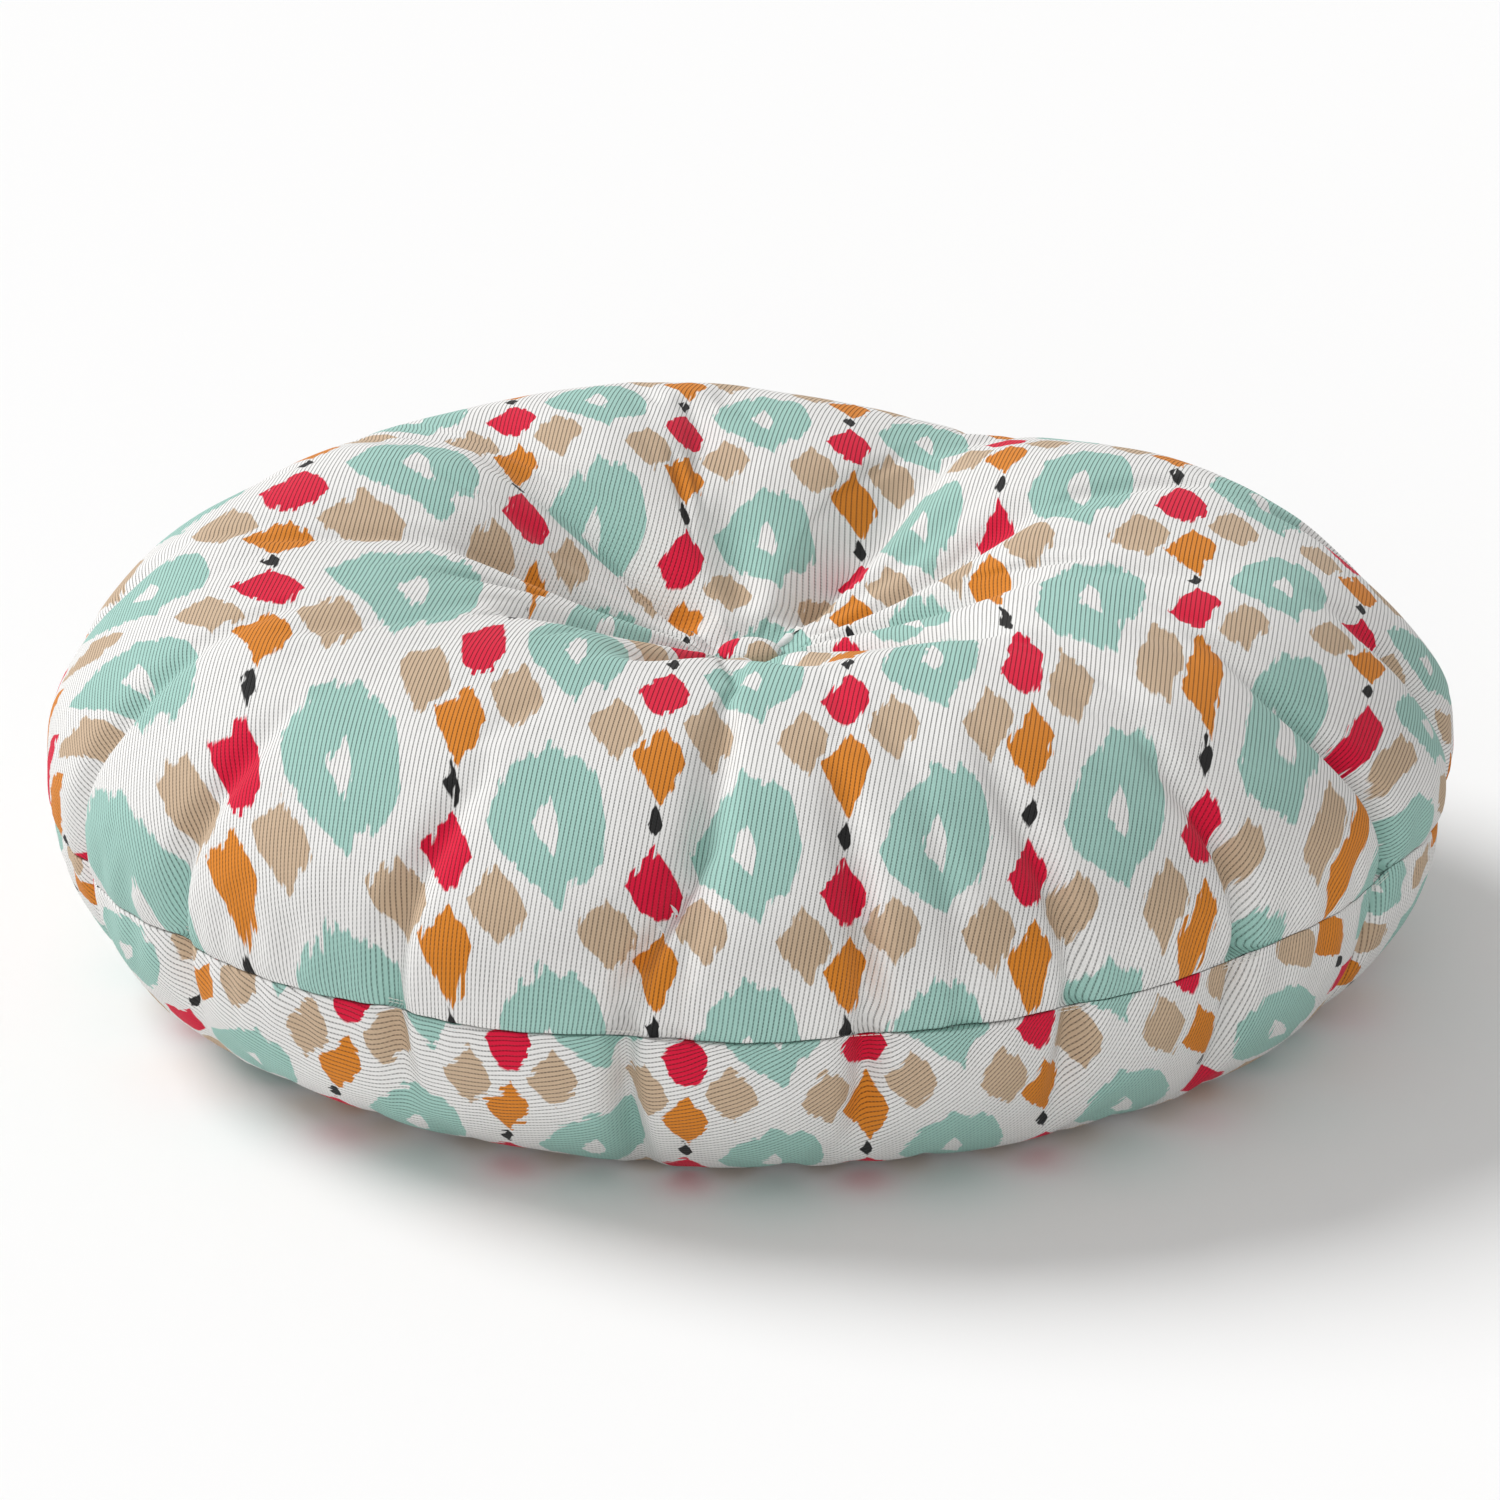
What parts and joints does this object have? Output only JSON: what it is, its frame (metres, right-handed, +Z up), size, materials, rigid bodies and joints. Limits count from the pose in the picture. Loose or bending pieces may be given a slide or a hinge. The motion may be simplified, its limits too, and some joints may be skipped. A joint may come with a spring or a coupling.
{
  "type": "floor cushion",
  "caption": "Round floor cushion in a printed cover, filled with fibre, drawn in at its centre by a buttoned tuft, with a plain seam round its side and a zip at the back.",
  "frame": {"origin": "on the floor under the cushion's centre", "axes": "+Z up, out of the seat; -Y is the front; +Y is the back, where the zip is"},
  "size_m": [0.7, 0.7, 0.225],
  "materials": {
    "printed_cover": "matte",
    "lining": "matte",
    "filling": "matte",
    "thread": "matte",
    "twine": "matte",
    "button_metal": "satin",
    "zip_tape": "matte",
    "zip_coil": "satin",
    "zip_metal": "satin"
  },
  "bodies": {
    "cushion": {"cover_top_panel": "printed_cover", "cover_bottom_panel": "printed_cover", "cover_seam_stitching": "thread", "liner_top_panel": "lining", "liner_bottom_panel": "lining", "liner_seam_stitching": "thread", "fibre_filling": "filling", "top_button_fabric": "printed_cover", "top_button_shell": "button_metal", "top_button_back": "button_metal", "top_button_shank": "button_metal", "bottom_button_fabric": "printed_cover", "bottom_button_shell": "button_metal", "bottom_button_back": "button_metal", "bottom_button_shank": "button_metal", "tufting_twine": "twine", "twine_knot": "twine", "zip_upper_tape": "zip_tape", "zip_lower_tape": "zip_tape", "zip_upper_coil": "zip_coil", "zip_lower_coil": "zip_coil", "zip_end_stops": "zip_metal", "zip_start_stop": "zip_metal", "zip_stitching": "thread"},
    "zip_slider": {"zip_slider": "zip_metal", "zip_pull_pin": "zip_metal"},
    "zip_pull": {"zip_pull_tab": "zip_metal"}
  },
  "joints": [
    {"name": "zip_slide", "type": "hinge", "parent": "cushion", "child": "zip_slider", "pos_m": [0, 0, 0.095], "axis": [0, 0, 1], "range_deg": [0, 73.1]},
    {"name": "zip_pull_turn", "type": "hinge", "parent": "zip_slider", "child": "zip_pull", "pos_m": [0.20655, 0.27876, 0.095], "axis": [0, 0, -1], "range_deg": [0, 165]}
  ]
}
